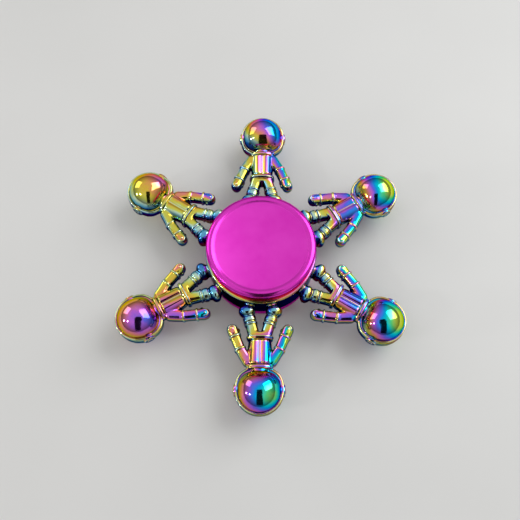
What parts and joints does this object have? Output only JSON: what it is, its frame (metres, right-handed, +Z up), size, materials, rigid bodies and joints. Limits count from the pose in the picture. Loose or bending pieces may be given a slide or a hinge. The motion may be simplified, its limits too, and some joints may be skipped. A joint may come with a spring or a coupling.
{
  "type": "fidget spinner",
  "caption": "Fidget spinner: a ball bearing between two finger caps, with astronaut figures standing out round its hub as weights.",
  "frame": {"origin": "bottom centre: on the spin axis, in the plane of the lower cap's flat rim", "axes": "+Z up along the spin axis; +Y outwards through the head of astronaut_2, so that Y is the longest extent"},
  "size_m": [0.0664, 0.075, 0.0138],
  "materials": {
    "magenta_anodised_aluminium": "satin",
    "oil_slick_plated_zinc": "polished",
    "ground_bearing_steel": "gloss",
    "polished_ball_steel": "polished",
    "pressed_cage_steel": "satin",
    "shield_steel": "satin"
  },
  "bodies": {
    "grip": {"upper_finger_cap": "magenta_anodised_aluminium", "lower_finger_cap": "magenta_anodised_aluminium", "bearing_inner_race": "ground_bearing_steel"},
    "rotor": {"hub_ring": "oil_slick_plated_zinc", "astronaut_1": "oil_slick_plated_zinc", "astronaut_2": "oil_slick_plated_zinc", "astronaut_3": "oil_slick_plated_zinc", "astronaut_4": "oil_slick_plated_zinc", "astronaut_5": "oil_slick_plated_zinc", "astronaut_6": "oil_slick_plated_zinc", "bearing_outer_race": "ground_bearing_steel", "upper_bearing_shield": "shield_steel", "lower_bearing_shield": "shield_steel"},
    "cage": {"cage_upper_half": "pressed_cage_steel", "cage_lower_half": "pressed_cage_steel", "cage_rivet_1": "pressed_cage_steel", "cage_rivet_2": "pressed_cage_steel", "cage_rivet_3": "pressed_cage_steel", "cage_rivet_4": "pressed_cage_steel", "cage_rivet_5": "pressed_cage_steel", "cage_rivet_6": "pressed_cage_steel", "cage_rivet_7": "pressed_cage_steel"},
    "ball_1": {"bearing_ball_1": "polished_ball_steel"},
    "ball_2": {"bearing_ball_2": "polished_ball_steel"},
    "ball_3": {"bearing_ball_3": "polished_ball_steel"},
    "ball_4": {"bearing_ball_4": "polished_ball_steel"},
    "ball_5": {"bearing_ball_5": "polished_ball_steel"},
    "ball_6": {"bearing_ball_6": "polished_ball_steel"},
    "ball_7": {"bearing_ball_7": "polished_ball_steel"}
  },
  "joints": [
    {"name": "rotor_spin", "type": "hinge", "parent": "grip", "child": "rotor", "pos_m": [0, 0, 0.0069], "axis": [0, 0, 1], "continuous": true},
    {"name": "cage_orbit", "type": "hinge", "parent": "grip", "child": "cage", "pos_m": [0, 0, 0.0069], "axis": [0, 0, 1], "continuous": true},
    {"name": "ball_1_roll", "type": "hinge", "parent": "cage", "child": "ball_1", "pos_m": [0.0075, 0, 0.0069], "axis": [0, 0, 1], "continuous": true},
    {"name": "ball_2_roll", "type": "hinge", "parent": "cage", "child": "ball_2", "pos_m": [0.00468, 0.00586, 0.0069], "axis": [0, 0, 1], "continuous": true},
    {"name": "ball_3_roll", "type": "hinge", "parent": "cage", "child": "ball_3", "pos_m": [-0.00167, 0.00731, 0.0069], "axis": [0, 0, 1], "continuous": true},
    {"name": "ball_4_roll", "type": "hinge", "parent": "cage", "child": "ball_4", "pos_m": [-0.00676, 0.00325, 0.0069], "axis": [0, 0, 1], "continuous": true},
    {"name": "ball_5_roll", "type": "hinge", "parent": "cage", "child": "ball_5", "pos_m": [-0.00676, -0.00325, 0.0069], "axis": [0, 0, 1], "continuous": true},
    {"name": "ball_6_roll", "type": "hinge", "parent": "cage", "child": "ball_6", "pos_m": [-0.00167, -0.00731, 0.0069], "axis": [0, 0, 1], "continuous": true},
    {"name": "ball_7_roll", "type": "hinge", "parent": "cage", "child": "ball_7", "pos_m": [0.00468, -0.00586, 0.0069], "axis": [0, 0, 1], "continuous": true}
  ],
  "couplings": [
    {"joint": "cage_orbit", "follows": "rotor_spin", "ratio": 0.6323},
    {"joint": "ball_1_roll", "follows": "rotor_spin", "ratio": 1.7573},
    {"joint": "ball_2_roll", "follows": "rotor_spin", "ratio": 1.7573},
    {"joint": "ball_3_roll", "follows": "rotor_spin", "ratio": 1.7573},
    {"joint": "ball_4_roll", "follows": "rotor_spin", "ratio": 1.7573},
    {"joint": "ball_5_roll", "follows": "rotor_spin", "ratio": 1.7573},
    {"joint": "ball_6_roll", "follows": "rotor_spin", "ratio": 1.7573},
    {"joint": "ball_7_roll", "follows": "rotor_spin", "ratio": 1.7573}
  ]
}
